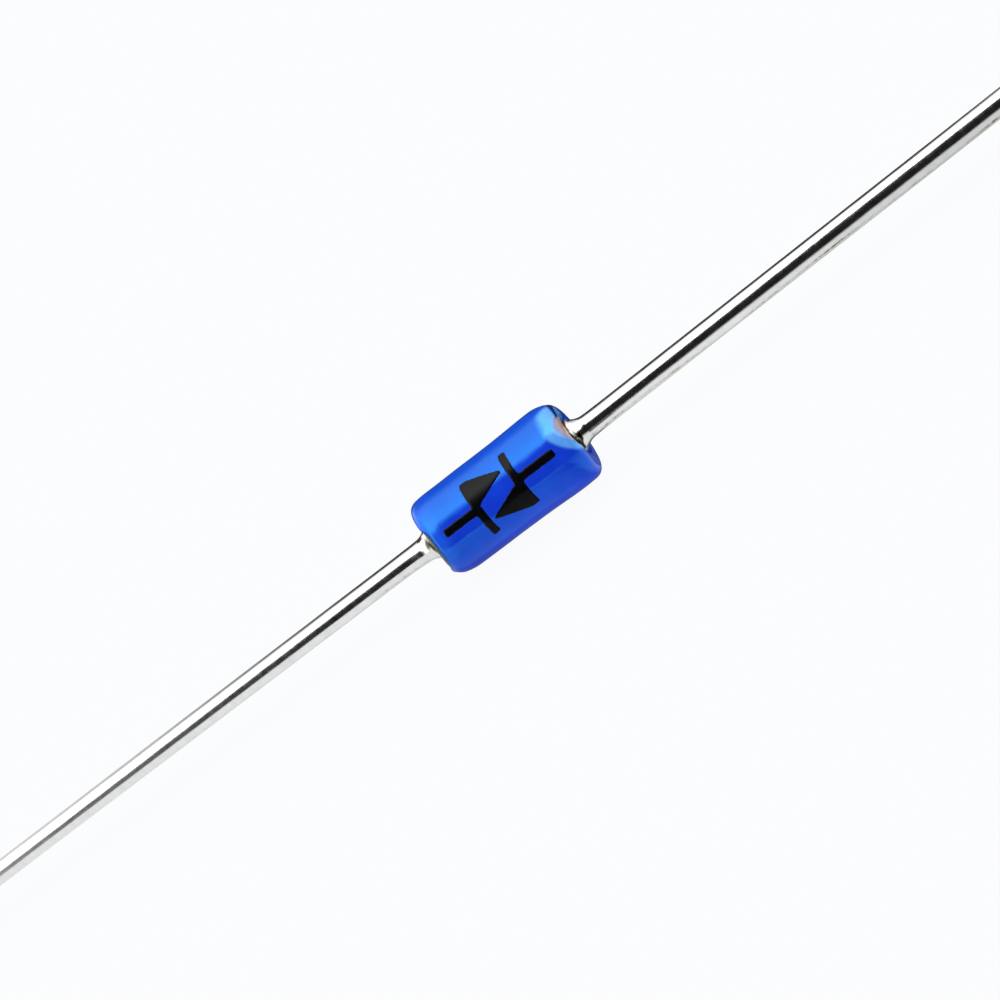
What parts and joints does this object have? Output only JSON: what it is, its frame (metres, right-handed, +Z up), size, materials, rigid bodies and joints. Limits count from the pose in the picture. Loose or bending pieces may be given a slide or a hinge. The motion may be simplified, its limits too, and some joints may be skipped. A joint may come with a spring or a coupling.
{
  "type": "diac",
  "caption": "Two-lead trigger diode: a small blue lacquered glass cylinder with a printed circuit symbol and a straight tinned wire lead welded to each end.",
  "frame": {"origin": "centre of the body, midway between the lead tips", "axes": "+X along the leads towards the slightly bent lead, +Z up, -Y to the front; the printed side of the body faces forward and up"},
  "size_m": [0.0559, 0.002, 0.002],
  "materials": {
    "blue_lacquer": "glossy dipped lacquer",
    "black_ink": "printed ink",
    "seal_glass": "clear, fire-polished ends",
    "slug_copper": "borated copper skin, dull red",
    "silicon": "etched silicon",
    "contact_silver": "plated pad",
    "tinned_wire": "bright tin plate with fine draw lines"
  },
  "bodies": {
    "root": {"lacquer_coat": "blue_lacquer", "marking_ink": "black_ink", "glass_sleeve": "seal_glass", "slug_left": "slug_copper", "slug_right": "slug_copper", "chip": "silicon", "contact_left": "contact_silver", "contact_right": "contact_silver", "lead_left": "tinned_wire", "lead_right": "tinned_wire"}
  },
  "joints": []
}
